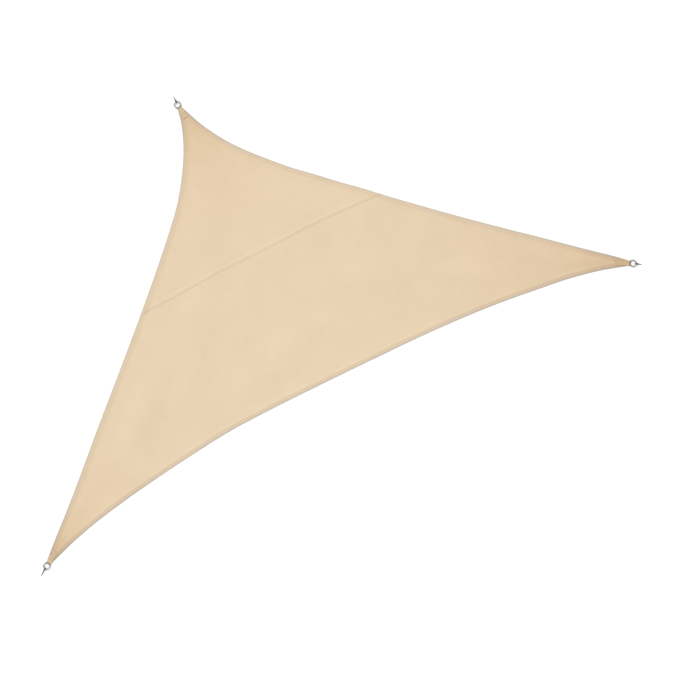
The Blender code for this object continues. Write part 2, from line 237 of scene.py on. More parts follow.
tie_ends, knots = {}, {}
for where, (knot_way, route) in TIES.items():
    distance, height = IN_KNOT
    points = [Vector((*(ring_at[where].xy + heading(knot_way) * distance), height))]
    for distance, way in route:
        points.append(Vector((*(ring_at[where].xy + heading(way) * distance), FLOOR_GAP + CORD)))
    line = smooth_line(points, CORD_STEP)
    taper = np.interp(np.arange(len(line))[::-1] * CORD_STEP, *np.transpose(FULLNESS))
    line[:, 2] -= CORD * (1 - taper)
    closed = closed_ends(len(line), START_POINTS, TIP_POINTS)
    tie_ends[where] = braided_cord(f"cord_end_{where}", line, closed * taper)
    wound = knot_line(where)
    closed = closed_ends(len(wound), START_POINTS, START_POINTS)
    knots[where] = braided_cord(f"cord_knot_{where}", wound, PULLED * closed)
    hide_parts(f"tie_end_{where}")
    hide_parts(f"tie_knot_{where}")


class Wire:
    """An output in a material, on which sums and products can be written."""

    def __init__(self, socket):
        self.socket = socket

    def node(self, kind, settings=(), sockets=(), out=0):
        """The output of a new node beside this one: its settings first, then its sockets' values or links."""
        made = self.socket.id_data.nodes.new(kind)
        for name, value in dict(settings).items():
            setattr(made, name, value)
        for name, value in dict(sockets).items():
            if isinstance(value, Wire):
                made.id_data.links.new(value.socket, made.inputs[name])
            else:
                made.inputs[name].default_value = value
        return Wire(made.outputs[out])

    def math(self, operation, first, second):
        """One step of arithmetic."""
        return self.node("ShaderNodeMath", {"operation": operation}, {0: first, 1: second})

    def __add__(self, other):
        return self.math("ADD", self, other)

    __radd__ = __add__

    def __sub__(self, other):
        return self.math("SUBTRACT", self, other)

    def __rsub__(self, other):
        return self.math("SUBTRACT", other, self)

    def __mul__(self, other):
        return self.math("MULTIPLY", self, other)

    def sine(self):
        """Its sine, in radians."""
        return self.node("ShaderNodeMath", {"operation": "SINE"}, {0: self})

    def axis(self, name):
        """These places' X, Y or Z."""
        return self.node("ShaderNodeSeparateXYZ", {}, {0: self}, out=name)

    def eased(self, start, end):
        """An even ease from 0 at one value to 1 at another."""
        ends = {"Value": self, "From Min": start, "From Max": end}
        return self.node("ShaderNodeMapRange", {"interpolation_type": "SMOOTHSTEP"}, ends)

    def noise(self, scale, detail=2.0):
        """Cloudy noise about 0.5 at these places."""
        return self.node("ShaderNodeTexNoise", {}, {"Vector": self, "Scale": scale, "Detail": detail})

    def stretched(self, along, across, up=1.0):
        """These places with each direction scaled."""
        return self.node("ShaderNodeMapping", {}, {"Vector": self, "Scale": (along, across, up)})


class Finish:
    """A piece's material: its shader, with what is the same all over it, and where each point lies."""

    def __init__(self, name, constants):
        self.material = bpy.data.materials.new(name)
        self.material.use_nodes = True
        tree = self.material.node_tree
        self.shader = tree.nodes["Principled BSDF"]
        for socket, value in constants.items():
            self.shader.inputs[socket].default_value = value
        self.place = Wire(tree.nodes.new("ShaderNodeTexCoord").outputs["Object"])

    def measure(self, name):
        """A number that the piece's mesh holds for each of its points."""
        return self.place.node("ShaderNodeAttribute", {"attribute_name": name}, out="Fac")

    def tinted(self, colour, *tints):
        """A colour multiplied by tints, each as far as its amount says."""
        settings = {"data_type": "RGBA", "blend_type": "MULTIPLY"}
        for amount, tint in tints:
            inputs = {0: amount, 6: colour, 7: (*tint, 1.0)}
            colour = self.place.node("ShaderNodeMix", settings, inputs, out=2)
        return colour

    def vary(self, socket, value):
        """Feed one of the shader's sockets."""
        self.material.node_tree.links.new(value.socket, self.shader.inputs[socket])

    def relief(self, height):
        """Raise the surface by a height in metres."""
        self.vary("Normal", self.place.node("ShaderNodeBump", {}, {"Height": height, "Distance": 1.0}))

    def put_on(self, *pieces):
        """Give pieces this material."""
        for piece in pieces:
            piece.data.materials.clear()
            piece.data.materials.append(self.material)


CORD_GREY = (0.165, 0.166, 0.169, 1.0)
tie_finish = Finish("Braided grey cord", {"Roughness": 0.78, "Sheen Weight": 0.15})
strand = tie_finish.measure("plait")
fibres = tie_finish.place.noise(2600.0, 3.0)
# Painted shade: the crevices between the plait's strands are painted darker.
grey = tie_finish.tinted(
    CORD_GREY,
    (1 - strand.eased(0.15, 0.85), (0.53, 0.53, 0.54)),
    (tie_finish.place.noise(240.0, 2.0).eased(0.35, 0.70), (0.87, 0.87, 0.87)),
)
tie_finish.vary("Base Color", grey)
tie_finish.relief(fibres * 0.00006)
tie_finish.put_on(*tie_ends.values(), *knots.values())


# ---- The cloth ----
# Two panels of plain-woven polyester. The apex panel laps over the base panel in a felled seam, and all
# three edges are hollowed and turned under in a hem that one row of stitches holds.
LAYER = 0.0006  # thickness of the cloth
HEM_WIDTH = 0.029
HEM_STITCH = 0.024  # from the edge
HEM_TUCK = 0.009  # width of the raw edge folded up inside the hem
SEAM_OUT = 1.1705  # the seam's middle from the line through the long side's rings, where it has no drift
SEAM_LAP = 0.015
TIP_HALF = 0.012  # half width of the cloth's end inside its tab
TIP_START = 0.031  # distance of that end from the ring's centre
TIP_LIFT = 0.0018  # the cloth lies this far up, over its tab's lower leg
TIP_MARGIN = 0.005  # past the tab's end before it starts to come down
TIP_EASE = 0.090  # length over which it comes down to the floor
EDGE_STEP = 0.008
FIELD_STEP = 0.0115
CORNER_REACH = 0.29  # how far the deeper colour near the rings reaches

# Each corner: the heading of its tab into the cloth, the tab's width, how far from the ring's centre the
# cloth's edges come out from under the tab, and how far the tab reaches.
CORNERS = {
    "left": (30.5, 0.033, 0.033, 0.110),
    "right": (149.0, 0.038, 0.038, 0.115),
    "apex": (-85.75, 0.032, 0.030, 0.100),
}

# How far each edge hollows in from the straight line between its two shoulders: (share, hollow).
EDGES = {
    ("left", "right"): [
        (0.000, 0.0000), (0.020, 0.0260), (0.040, 0.0505), (0.080, 0.0920), (0.140, 0.1370),
        (0.200, 0.1710), (0.260, 0.1990), (0.320, 0.2220), (0.350, 0.2285), (0.380, 0.2300),
        (0.420, 0.2300), (0.500, 0.2245), (0.600, 0.2140), (0.700, 0.1985), (0.800, 0.1635),
        (0.860, 0.1300), (0.910, 0.0990), (0.960, 0.0525), (1.000, 0.0000),
    ],
    ("right", "apex"): [
        (0.000, 0.0000), (0.030, 0.0045), (0.080, 0.0175), (0.140, 0.0315), (0.200, 0.0450),
        (0.240, 0.0555), (0.280, 0.0650), (0.360, 0.0830), (0.460, 0.1005), (0.530, 0.1105),
        (0.580, 0.1150), (0.630, 0.1235), (0.690, 0.1300), (0.740, 0.1370), (0.800, 0.1335),
        (0.860, 0.1220), (0.900, 0.1025), (0.950, 0.0610), (1.000, 0.0000),
    ],
    ("apex", "left"): [
        (0.000, 0.0000), (0.015, 0.0295), (0.040, 0.0655), (0.065, 0.0940), (0.090, 0.1165),
        (0.130, 0.1420), (0.190, 0.1645), (0.250, 0.1655), (0.320, 0.1580), (0.420, 0.1410),
        (0.520, 0.1190), (0.620, 0.0950), (0.700, 0.0745), (0.770, 0.0595), (0.840, 0.0440),
        (0.900, 0.0280), (0.955, 0.0110), (1.000, 0.0000),
    ],
}

# The seam bows as it crosses the cloth: how far its middle lies past SEAM_OUT, as (along, drift).
SEAM_COURSE = [
    (1.28, -0.0040), (1.55, -0.0045), (1.70, -0.0005), (1.85, 0.0045), (2.05, 0.0025), (2.28, 0.0006),
    (2.45, 0.0020), (2.60, -0.0007), (2.75, -0.0085), (2.90, -0.0165), (3.00, -0.0230),
]

# Soft billows where the cloth is slack: middle along and out from the left ring, heading, half length,
# half width, rise.
BILLOWS = [
    (1.97, 1.63, 84.0, 0.38, 0.20, 0.007),
    (2.42, 1.30, 128.0, 0.34, 0.17, 0.006),
    (1.62, 0.98, 52.0, 0.42, 0.21, 0.008),
    (2.62, 0.72, 158.0, 0.56, 0.21, 0.009),
    (1.98, 0.50, 12.0, 0.48, 0.17, 0.007),
    (1.02, 0.60, 41.0, 0.42, 0.15, 0.007),
    (3.30, 0.42, 151.0, 0.40, 0.12, 0.006),
]

# Soft creases that run into the cloth from the tabs' ends: corner, angle off the tab's heading, start and
# end from the ring's centre, half width, rise.
CREASES = [
    ("left", 4.0, 0.10, 0.62, 0.016, 0.0016),
    ("left", -5.5, 0.11, 0.48, 0.013, 0.0012),
    ("left", 0.5, 0.14, 0.95, 0.022, 0.0013),
    ("right", 2.5, 0.11, 0.70, 0.015, 0.0015),
    ("right", -4.0, 0.10, 0.52, 0.013, 0.0013),
    ("right", -0.8, 0.16, 1.10, 0.024, 0.0012),
    ("apex", 7.0, 0.09, 0.46, 0.015, 0.0015),
    ("apex", -6.5, 0.10, 0.55, 0.014, 0.0014),
    ("apex", 0.0, 0.13, 0.80, 0.021, 0.0012),
]

CREASE_START = 0.05  # length over which a crease rises
CREASE_FADE = 0.6  # share of its length over which it fades out
CREASE_WIDEN = 1.4  # share by which it has widened at its end

# The unevenness all over the cloth, wide and fine: rise, scale of its noise and level in that noise.
UNEVENNESS = [(0.00045, 9.0, 0.3), (0.00010, 26.0, 4.1)]

# The middle of the cloth above what it lies on: (distance from the edge, height) over a hem, and the
# hem's turned layer from the fold at the edge inwards and back.
HEM_TOP = [
    (0.0, 0.00115), (0.0009, 0.00165), (0.0035, 0.00182), (0.009, 0.00192), (0.016, 0.00196),
    (0.022, 0.00196), (0.024, 0.00186), (0.026, 0.00196), (0.0295, 0.00178), (0.0335, 0.00100),
    (0.039, 0.00062),
]
STITCHED_HEIGHT = 0.00055  # of the turned layer, where the stitches hold it down
HEM_UNDER = [
    (0.0, 0.00115),
    (0.0003, 0.00072),
    (0.0010, 0.00050),
    (0.004, 0.00048),
    (0.014, 0.00048),
    (HEM_STITCH, STITCHED_HEIGHT),
    (HEM_WIDTH - 0.0006, 0.00058),
    (HEM_WIDTH, 0.00090),
    (HEM_WIDTH - 0.0006, 0.00122),
    (HEM_WIDTH - HEM_TUCK, 0.00126),
]

# The seam's lines, as distances out without the drift, and how the apex panel's edge is turned under:
# (inwards, height).
LAP_LOW = SEAM_OUT - SEAM_LAP / 2
LAP_HIGH = SEAM_OUT + SEAM_LAP / 2
LAP_CLEAR = LAP_HIGH + 0.0015  # the apex panel starts to come down off the base panel
LAP_DOWN = LAP_CLEAR + 0.005
LAP_LIFT = 0.0015
LAP_LIFT_HEM = 0.0026
LAP_STEP = (0.0285, 0.004)  # the lift over a hem eases to the other: distance from the edge, length
LAP_HEM_MARGIN = 0.004  # the lap's turned edge starts this far past the hem
MOVED_SHARE = 0.98  # a moved point of an edge stays where it lies this share of the move from every edge
EDGE_BATCH = 60  # parts of an edge that are measured at once
LAP_TURN = [(0.0, 0.0), (-0.0004, -0.00035), (0.0, -0.00072), (0.004, -0.00074), (0.008, -0.00074)]


def read(rows, at):
    """The second column of a table at values of the first, on a smooth curve through its rows."""
    first, second = np.array(rows, float).T
    slope = np.diff(second) / np.diff(first)
    turn = np.concatenate([slope[:1], (slope[:-1] + slope[1:]) / 2, slope[-1:]])
    row = np.clip(np.searchsorted(first, at, side="right") - 1, 0, len(slope) - 1)
    span = first[row + 1] - first[row]
    t = np.clip((at - first[row]) / span, 0, 1)
    rest = 1 - t
    return (
        (1 + 2 * t) * rest**2 * second[row]
        + t * rest**2 * span * turn[row]
        + t**2 * (3 - 2 * t) * second[row + 1]
        - t**2 * rest * span * turn[row + 1]
    )


def ease(share):
    """An even ease from 0 to 1."""
    share = np.clip(share, 0, 1)
    return share * share * (3 - 2 * share)


def turned_left(direction):
    """Directions a quarter turn to the left."""
    return np.stack([-direction[..., 1], direction[..., 0]], axis=-1)


ring_xy = {where: np.array(at.xy) for where, at in ring_at.items()}


def from_corner(where, ahead, left):
    """A place from a ring's centre, along its tab and to the tab's left."""
    way = np.array(heading(CORNERS[where][0]))
    return ring_xy[where] + way * ahead + turned_left(way) * left


seam_y = {line: ring_at["left"].y + line for line in (LAP_LOW, LAP_HIGH, LAP_CLEAR, LAP_DOWN)}


def drift(places):
    """The step out by which the seam's bow moves the cloth at each place."""
    along = np.clip(places[:, 0] - ring_at["left"].x, SEAM_COURSE[0][0], SEAM_COURSE[-1][0])
    return read(SEAM_COURSE, along)[:, None] * (0.0, 1.0)


def straight_y(places):
    """Each place's Y with the seam's bow taken out, to compare with the seam's lines."""
    return places[:, 1] - drift(places)[:, 1]


def edge_line(names):
    """One edge's points from shoulder to shoulder, with a point wherever a line of the seam meets it."""
    (_, start_width, start_shoulder, _), (_, end_width, end_shoulder, _) = (CORNERS[name] for name in names)
    start = from_corner(names[0], start_shoulder, -start_width / 2)
    end = from_corner(names[1], end_shoulder, end_width / 2)
    run = end - start
    length = np.linalg.norm(run)
    share = np.linspace(0, 1, round(length / EDGE_STEP) + 1)[:, None]
    line = start + run * share + turned_left(run / length) * read(EDGES[names], share)
    for level in seam_y.values():
        past = straight_y(line) - level
        for i in np.flatnonzero((past[1:] > 0) != (past[:-1] > 0)):
            met = line[i] + (line[i + 1] - line[i]) * past[i] / (past[i] - past[i + 1])
            line = np.insert(line, i + 1, (met[0], level + drift(met[None])[0, 1]), axis=0)
    return line


edges = {names: edge_line(names) for names in EDGES}


def inwards(line):
    """The direction into the cloth at each point of an edge."""
    sides = turned_left(np.diff(line, axis=0))
    sides /= np.linalg.norm(sides, axis=1)[:, None]
    turns = np.concatenate([sides[:1], sides[:-1] + sides[1:], sides[-1:]])
    return turns / np.linalg.norm(turns, axis=1)[:, None]


def distance_to(line, places):
    """How far inside an edge each place lies, below 0 outside it."""
    least = np.full(len(places), np.inf)
    inside = np.zeros(len(places))
    starts, runs = line[:-1], np.diff(line, axis=0)
    for first in range(0, len(starts), EDGE_BATCH):
        batch = slice(first, first + EDGE_BATCH)
        start, run = starts[None, batch], runs[None, batch]
        off = places[:, None] - start
        share = np.clip((off * run).sum(-1) / (run * run).sum(-1), 0, 1)
        gap = np.linalg.norm(off - run * share[..., None], axis=-1)
        nearest = gap.argmin(1)
        row = np.arange(len(places))
        closer = gap[row, nearest] < least
        least[closer] = gap[row, nearest][closer]
        inside[closer] = (turned_left(run)[0, nearest] * off[row, nearest]).sum(-1)[closer]
    return np.where(inside < 0, -least, least)


def from_edge(places):
    """How far inside the nearest edge each place lies."""
    return np.min([distance_to(line, places) for line in edges.values()], axis=0)


def rise(places):
    """How far the cloth stands off the floor: over its tabs, in its billows and in its soft creases."""
    on_tab = np.zeros(len(places))
    for where, (_, _, _, reach) in CORNERS.items():
        past = np.linalg.norm(places - ring_xy[where], axis=1) - reach - TIP_MARGIN
        on_tab = np.maximum(on_tab, 1 - ease(past / TIP_EASE))
    height = TIP_LIFT * on_tab
    for along, out, degrees, long, wide, high in BILLOWS:
        off = places - ring_xy["left"] - (along, out)
        way = np.array(heading(degrees))
        spread = np.hypot(off @ way / long, off @ turned_left(way) / wide)
        height += high * np.cos(np.minimum(spread, 1) * math.pi / 2) ** 2
    for where, angle, start, end, wide, high in CREASES:
        off = places - ring_xy[where]
        way = np.array(heading(CORNERS[where][0] + angle))
        ahead, side = off @ way, off @ turned_left(way)
        fade = ease((ahead - start) / CREASE_START) * ease((end - ahead) / (CREASE_FADE * (end - start)))
        broad = wide * (1 + CREASE_WIDEN * np.clip((ahead - start) / (end - start), 0, 1))
        height += high * fade * np.exp(-((side / broad) ** 2))
    for high, often, level in UNEVENNESS:
        bumps = np.array([1 + noise.noise(Vector((x * often, y * often, level))) for x, y in places])
        height += high * bumps * (1 - on_tab)
    return height


def lifted(places, height):
    """Places on the floor raised to their heights."""
    return np.concatenate([places, height[..., None]], axis=-1)


def lap_lift(places, distance):
    """How far the apex panel is lifted by the base panel's edge, which lies under it at the seam."""
    on_hem = 1 - ease((distance - LAP_STEP[0]) / LAP_STEP[1])
    lift = LAP_LIFT + (LAP_LIFT_HEM - LAP_LIFT) * on_hem
    return lift * np.clip((seam_y[LAP_DOWN] - straight_y(places)) / (LAP_DOWN - LAP_CLEAR), 0, 1)


def net_of_cloth():
    """The whole cloth's flat triangles, laid out as if the seam ran straight: places, straight Y, faces."""
    outline = []
    for (start, end), line in edges.items():
        outline += [*line, from_corner(end, TIP_START, TIP_HALF), from_corner(end, TIP_START, -TIP_HALF)]
    outline = np.array(outline)
    points = list(outline - drift(outline))
    links = [(i, (i + 1) % len(outline)) for i in range(len(outline))]
    for line in edges.values():
        for inset, _ in HEM_TOP[1:]:
            moved = line + inwards(line) * inset
            kept = from_edge(moved) > inset * MOVED_SHARE
            for i, point in enumerate(moved - drift(moved)):
                if kept[i]:
                    if i and kept[i - 1]:
                        links.append((len(points) - 1, len(points)))
                    points.append(point)
    low, high = np.min(outline, axis=0), np.max(outline, axis=0)
    for level in seam_y.values():
        ends = np.flatnonzero(np.abs(straight_y(outline) - level) < 1e-9)
        first, last = ends[np.argsort(outline[ends, 0])]
        start, end = outline[first, 0] + FIELD_STEP, outline[last, 0] - FIELD_STEP / 2
        marks = [(x, level) for x in np.arange(start, end, FIELD_STEP)]
        chain = [first, *range(len(points), len(points) + len(marks)), last]
        links += [(int(i), int(j)) for i, j in zip(chain, chain[1:])]
        points += marks
    row_step = FIELD_STEP * math.sqrt(0.75)
    for row, y in enumerate(np.arange(low[1], high[1], row_step)):
        if min(abs(y - level) for level in seam_y.values()) > FIELD_STEP / 3:
            start = low[0] + (row % 2) * FIELD_STEP / 2
            laid = np.array([(x, y) for x in np.arange(start, high[0], FIELD_STEP)])
            points += list(laid[from_edge(laid + drift(laid)) > HEM_TOP[-1][0] + FIELD_STEP / 2])
    found, _, faces, *_ = delaunay_2d_cdt(
        [Vector(point) for point in points], links, [list(range(len(outline)))], 1, 1e-7
    )
    found = np.array(found)
    return found + drift(found), found[:, 1], np.array(faces)


def turned_strip(line, ways, profile, lift):
    """A strip of cloth turned along a line: its points and faces, from (inwards, height) rows."""
    rows = [np.pad(line + ways * inset, ((0, 0), (0, 1)), constant_values=up) for inset, up in profile]
    points = np.concatenate(rows)
    points[:, 2] += np.tile(lift, len(profile))
    return points, grid_faces(len(profile), len(line), closed=False)


def nearness_to_rings(places):
    """How near the rings a place lies: 1 at a ring, fading away from it."""
    far = [np.linalg.norm(places - at, axis=1) for at in ring_xy.values()]
    return sum(np.exp(-distance / CORNER_REACH) for distance in far)


def turned_hem(names, side, level):
    """The turned layer under one edge's hem, on one side of a line of the seam."""
    line = edges[names]
    others = [distance_to(other, line) for other_names, other in edges.items() if other_names != names]
    narrowed = np.clip(0.5 * np.min(others, axis=0) / HEM_WIDTH, 0, 1)
    kept = side * (straight_y(line) - level) > -1e-9
    line, ways = line[kept], (inwards(line) * narrowed[:, None])[kept]
    lift = lap_lift(line, np.zeros(len(line))) if side > 0 else np.zeros(len(line))
    points, faces = turned_strip(line, ways, HEM_UNDER, lift)
    past_level = np.maximum(side * (level - straight_y(points[:, :2])), 0)
    points[:, 1] += side * past_level
    points[:, 2] += rise(points[:, :2])
    return points, faces, np.repeat([inset for inset, _ in HEM_UNDER], len(line)), run_of(line)[-1]


def select_alone(piece):
    """Leave one piece selected, for Blender's own tools."""
    bpy.ops.object.select_all(action="DESELECT")
    piece.select_set(True)
    bpy.context.view_layer.objects.active = piece


def panel(name, side, level, edge_names):
    """One panel: the net on one side of a line of the seam and the hems turned under it, as a thin sheet."""
    kept = net_faces[side * (net_straight_y[net_faces].mean(axis=1) - level) > 0]
    used, faces = np.unique(kept, return_inverse=True)
    height = net_rise[used] + read(HEM_TOP, net_inside[used])
    if side > 0:
        height += lap_lift(net_places[used], net_inside[used])
    top = lifted(net_places[used], height)
    faces = faces.reshape(-1, 3)
    a, b, c = (net_places[used][faces[:, i]] for i in range(3))
    flat_area[name] = float(np.abs(np.cross(b - a, c - a)).sum() / 2)
    layers = [(top, faces, net_inside[used])]
    for names in edge_names:
        *layer, flat_length = turned_hem(names, side, level)
        flat_area[name] += float(flat_length) * (HEM_WIDTH + HEM_TUCK)
        layers.append(layer)
    if side > 0:
        past_hem = net_inside[used] > HEM_WIDTH + LAP_HEM_MARGIN
        raw = top[(np.abs(net_straight_y[used] - level) < 1e-6) & past_hem]
        raw = raw[np.argsort(raw[:, 0])]
        points, faces = turned_strip(raw[:, :2], np.tile((0.0, 1.0), (len(raw), 1)), LAP_TURN, raw[:, 2])
        layers.append((points, faces, np.full(len(points), 2 * HEM_WIDTH)))
    shape = bmesh.new()
    held = [shape.verts.layers.float.new(measure) for measure in ("inside", "near_rings", "past_seam")]
    for points, faces, distances in layers:
        corners = [shape.verts.new(point) for point in points]
        closeness, past = nearness_to_rings(points[:, :2]), straight_y(points[:, :2]) - seam_y[LAP_LOW]
        for corner, *values in zip(corners, distances, closeness, past):
            for measure, value in zip(held, values):
                corner[measure] = value
        for face in faces:
            shape.faces.new([corners[i] for i in face])
    bmesh.ops.remove_doubles(shape, verts=shape.verts[:], dist=2e-5)
    bmesh.ops.recalc_face_normals(shape, faces=shape.faces[:])
    mesh = bpy.data.meshes.new(name)
    shape.to_mesh(mesh)
    shape.free()
    piece = bpy.data.objects.new(name, mesh)
    bpy.context.scene.collection.objects.link(piece)
    select_alone(piece)
    thickness = piece.modifiers.new("Cloth", "SOLIDIFY")
    thickness.thickness = LAYER
    thickness.offset = 0.0
    bpy.ops.object.modifier_apply(modifier=thickness.name)
    bpy.ops.object.shade_smooth_by_angle(angle=math.radians(60))
    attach(piece, "root")
    return piece


net_places, net_straight_y, net_faces = net_of_cloth()
net_inside = from_edge(net_places)
net_rise = rise(net_places)
flat_area = {}
BOTH_SIDES = [("right", "apex"), ("apex", "left")]
base_cloth = panel("sail_base_cloth", -1, seam_y[LAP_HIGH], list(EDGES))
apex_cloth = panel("sail_apex_cloth", 1, seam_y[LAP_LOW], BOTH_SIDES)
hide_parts("panel_base")
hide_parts("panel_apex")

CLOTH_SAND = (0.704, 0.568, 0.397, 1.0)
YARN = 0.0008  # from one yarn to the next

# The hem's two layers look deeper, the long edge's hem deeper still, and its row of stitches warmer.
# The rim is painted grey-blue, as painted shade along the rolled edge, and more so near the rings.
# The seam's lap is deeper, and along its fold it is painted paler, as painted light that offsets the
# fold's shadow. The cloth is deeper in colour near the rings, fading away from them, and towards the right.
HEM_TINT = (0.945, 0.938, 0.945)
LONG_HEM_TINT = (0.965, 0.960, 0.955)
RIM = (0.0040, 0.0180)  # the rim ends between these distances from the edge
RIM_SHADE_TINT = (0.885, 0.952, 1.07)
CORNER_RIM_SHADE_TINT = (0.82, 0.92, 1.02)
STITCH_TINT = (1.012, 0.988, 0.949)
LAP_TINT = (0.975, 0.972, 0.968)
FOLD_LIGHT_TINT = (1.10, 1.10, 1.10)
CORNER_TINT = (0.855, 0.729, 0.612)
RIGHT_TINT = (0.950, 0.935, 0.920)

cloth_finish = Finish("Woven sand polyester", {"Roughness": 0.82, "Sheen Weight": 0.08})
inside, past_seam = cloth_finish.measure("inside"), cloth_finish.measure("past_seam")
near_rings = cloth_finish.measure("near_rings")
along, out = cloth_finish.place.axis("X"), cloth_finish.place.axis("Y")
in_hem = 1 - inside.eased(HEM_WIDTH - 0.0008, HEM_WIDTH + 0.0008)
on_shaded_rim = 1 - inside.eased(*RIM)
on_stitches = inside.eased(HEM_STITCH - 0.0016, HEM_STITCH - 0.0004)
on_stitches *= 1 - inside.eased(HEM_STITCH + 0.0004, HEM_STITCH + 0.0016)
on_lightened_fold = past_seam.eased(-0.005, -0.002) * (1 - past_seam.eased(0.002, 0.005))
on_lap = past_seam.eased(0.002, 0.005) * (1 - past_seam.eased(SEAM_LAP, LAP_CLEAR - LAP_LOW))
sand = cloth_finish.tinted(
    CLOTH_SAND,
    (in_hem, HEM_TINT),
    (in_hem * (1 - out.eased(-0.95, -0.80)), LONG_HEM_TINT),
    # Painted shade: the rim is painted grey-blue along the rolled edge, more so near the rings.
    (on_shaded_rim, RIM_SHADE_TINT),
    (on_shaded_rim * near_rings, CORNER_RIM_SHADE_TINT),
    (on_stitches, STITCH_TINT),
    # Painted light: the fold is painted paler, to offset the fold's shadow.
    (on_lightened_fold, FOLD_LIGHT_TINT),
    (on_lap, LAP_TINT),
    (near_rings, CORNER_TINT),
    (along.eased(0.30, 2.10), RIGHT_TINT),
)

# Broad soft clouds of deeper colour are painted shade of soft undulations in the cloth, and uneven
# yarns leave short faint streaks both ways. The hollows between crossing yarns get painted shade.
warp = cloth_finish.place.stretched(6.0, 900.0).noise(1.0, 1.0)
weft = cloth_finish.place.stretched(900.0, 6.0).noise(1.0, 1.0)
over_under = (along * (math.pi / YARN)).sine() * (out * (math.pi / YARN)).sine()
sand = cloth_finish.tinted(
    sand,
    # Painted shade: broad soft clouds, as of soft undulations.
    (cloth_finish.place.noise(3.6, 3.0).eased(0.36, 0.66), (0.980, 0.976, 0.971)),
    (cloth_finish.place.noise(9.0, 2.0).eased(0.36, 0.66), (0.993, 0.991, 0.987)),
    (warp.eased(0.45, 0.70), (0.965, 0.960, 0.950)),
    (weft.eased(0.45, 0.70), (0.965, 0.960, 0.950)),
    # Painted shade in the hollows between crossing yarns.
    (1 - over_under.eased(-1.0, 0.2), (0.90, 0.88, 0.86)),
)
puckers = cloth_finish.place.noise(75.0, 2.0) * (1 - inside.eased(HEM_WIDTH, HEM_WIDTH + 0.030))
cloth_finish.vary("Base Color", sand)
cloth_finish.relief(over_under * 0.00005 + puckers * 0.0009 + (warp + weft) * 0.00003)
cloth_finish.put_on(base_cloth, apex_cloth)


# ---- The sewing ----
# Rows of polyester lockstitch in the cloth's own colour, drawn a little into it: one along each hem, and
# two through the seam's laps.
THREAD = 0.00028  # radius
STITCH = 0.0040  # from one needle hole to the next
STITCH_AT = (0.05, 0.20, 0.80, 0.95)  # a stitch's points, as shares of its length
STITCH_THICK = (0.35, 1.0, 1.0, 0.35)  # the thread there, in radii
STITCH_LIFT = (-0.9, 0.1, 0.1, -0.9)  # and how far its middle lies off the cloth, in radii
SEAM_ROW = 0.0025  # from the lap's edge
SEAM_ROW_END = 0.003  # its rows' ends, from the cloth's edges
ROW_SHARE = 0.985  # a hem's row is sewn where it lies this share of HEM_STITCH from every edge
THREAD_FACES = np.concatenate([grid_faces(4, 4), [[3, 2, 1, 0], [12, 13, 14, 15]]])


def stitched(name, rows):
    """Rows of stitches as one piece, each row as its line and 1 for the upper side or -1 for the lower."""
    rings = []
    for line, side in rows:
        run = run_of(line)
        at = (np.arange(int(run[-1] / STITCH))[:, None] + STITCH_AT) * STITCH
        middle = np.stack([np.interp(at, run, line[:, axis]) for axis in range(3)], axis=-1)
        across = np.pad(turned_left(middle[:, -1, :2] - middle[:, 0, :2]), ((0, 0), (0, 1)))
        across /= np.linalg.norm(across, axis=1)[:, None]
        thick = THREAD * np.array(STITCH_THICK)[:, None]
        lift = THREAD * np.array(STITCH_LIFT)[:, None]
        angle = (np.arange(4) + 0.5) * math.pi / 2
        sideways = across[:, None, None] * (thick * np.cos(angle))[None, ..., None]
        upwards = np.array((0.0, 0.0, side)) * (thick * np.sin(angle) + lift)[None, ..., None]
        rings.append((middle[:, :, None] + sideways + upwards).reshape(-1, 3))
    points = np.concatenate(rings)
    first = np.arange(0, len(points), 16)[:, None, None]
    return mesh_piece(name, points, (first + THREAD_FACES).reshape(-1, 4), "cloth")


def unbroken(line, kept):
    """The stretches of a line whose points are kept."""
    ends = np.flatnonzero(np.diff(np.concatenate([[0], kept.astype(int), [0]])))
    return [line[start:end] for start, end in zip(ends[::2], ends[1::2]) if end - start > 1]


def hem_rows(side):
    """The hems' rows of one panel, on top of it and under it, on its side of the seam's lines."""
    rows = []
    upper, lower = (1, read(HEM_TOP, HEM_STITCH), LAP_LOW), (-1, STITCHED_HEIGHT, LAP_HIGH)
    for line in edges.values():
        row = line + inwards(line) * HEM_STITCH
        sound = from_edge(row) > HEM_STITCH * ROW_SHARE
        lift = rise(row) + (lap_lift(row, np.zeros(len(row))) if side > 0 else 0)
        for way, height, level in (upper, lower):
            points = lifted(row, lift + height + way * LAYER / 2)
            kept = sound & (side * (straight_y(row) - seam_y[level]) > 0)
            rows += [(part, way) for part in unbroken(points, kept)]
    return rows


seam_rows = []
for level in (seam_y[LAP_LOW] + SEAM_ROW, seam_y[LAP_HIGH] - SEAM_ROW):
    row = np.array([(x, level) for x in np.arange(ring_at["left"].x, ring_at["right"].x, EDGE_STEP)])
    row += drift(row)
    row = row[from_edge(row) > SEAM_ROW_END]
    distance = from_edge(row)
    top = rise(row) + read(HEM_TOP, distance) + lap_lift(row, distance) + LAYER / 2
    under = rise(row) + np.where(distance < HEM_WIDTH, STITCHED_HEIGHT, HEM_TOP[-1][1]) - LAYER / 2
    seam_rows += [(lifted(row, top), 1), (lifted(row, under), -1)]
base_thread = stitched("thread_base_hems", hem_rows(-1))
apex_thread = stitched("thread_apex_hems", hem_rows(1))
seam_thread = stitched("thread_seam", seam_rows)

THREAD_SAND = (0.640, 0.505, 0.345, 1.0)
thread_finish = Finish("Sand polyester thread", {"Roughness": 0.62, "Sheen Weight": 0.10})
twist = thread_finish.place.noise(1800.0, 2.0)
shaded = (twist.eased(0.35, 0.65), (0.84, 0.82, 0.80))
thread_finish.vary("Base Color", thread_finish.tinted(THREAD_SAND, shaded))
thread_finish.relief(twist * 0.00004)
thread_finish.put_on(base_thread, apex_thread, seam_thread)


